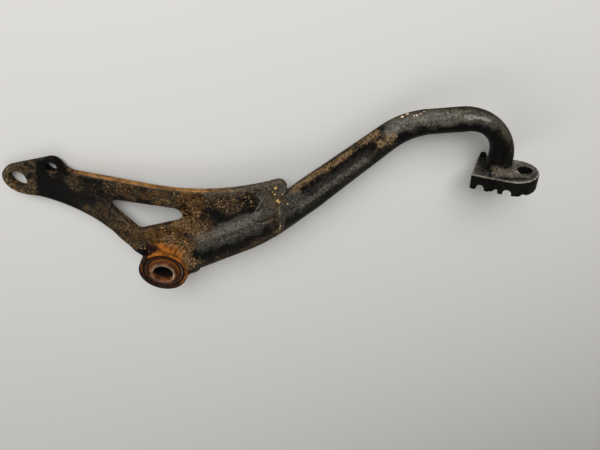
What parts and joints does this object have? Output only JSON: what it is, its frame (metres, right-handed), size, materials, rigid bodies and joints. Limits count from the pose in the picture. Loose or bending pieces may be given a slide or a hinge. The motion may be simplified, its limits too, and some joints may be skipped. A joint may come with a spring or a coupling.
{
  "type": "rear brake pedal",
  "caption": "Steel foot brake pedal: flat arm with a rod eye and a window, sealed pivot boss, tapered round bar that hooks over, and a serrated toe pad.",
  "frame": {"origin": "on the pivot axis, half way through the arm plate's thickness", "axes": "+Z along the pivot axis, away from the machine; +X towards the toe pad; +Y towards the rod eye's side of the arm"},
  "size_m": [0.305, 0.1222, 0.0353],
  "materials": {
    "painted_steel": "worn black paint with brown rust",
    "rusty_steel": "orange-brown rust",
    "collar_steel": "worn bright rim, rusty bore",
    "seal_rubber": "matt, stained brown",
    "bush_bronze": "dull",
    "pad_steel": "paint worn grey-brown on top"
  },
  "bodies": {
    "pedal": {"arm_plate": "painted_steel", "lever_bar": "painted_steel", "seam_weld": "painted_steel", "pivot_boss": "rusty_steel", "boss_weld_front": "rusty_steel", "boss_weld_back": "rusty_steel", "bearing_bush": "bush_bronze", "dust_seal_front": "seal_rubber", "dust_seal_back": "seal_rubber", "toe_pad": "pad_steel", "toe_pad_weld": "pad_steel"},
    "collar": {"pivot_collar": "collar_steel"}
  },
  "joints": [
    {"name": "collar_turn", "type": "hinge", "parent": "pedal", "child": "collar", "pos_m": [0, 0, 0], "axis": [0, 0, 1], "continuous": true}
  ]
}
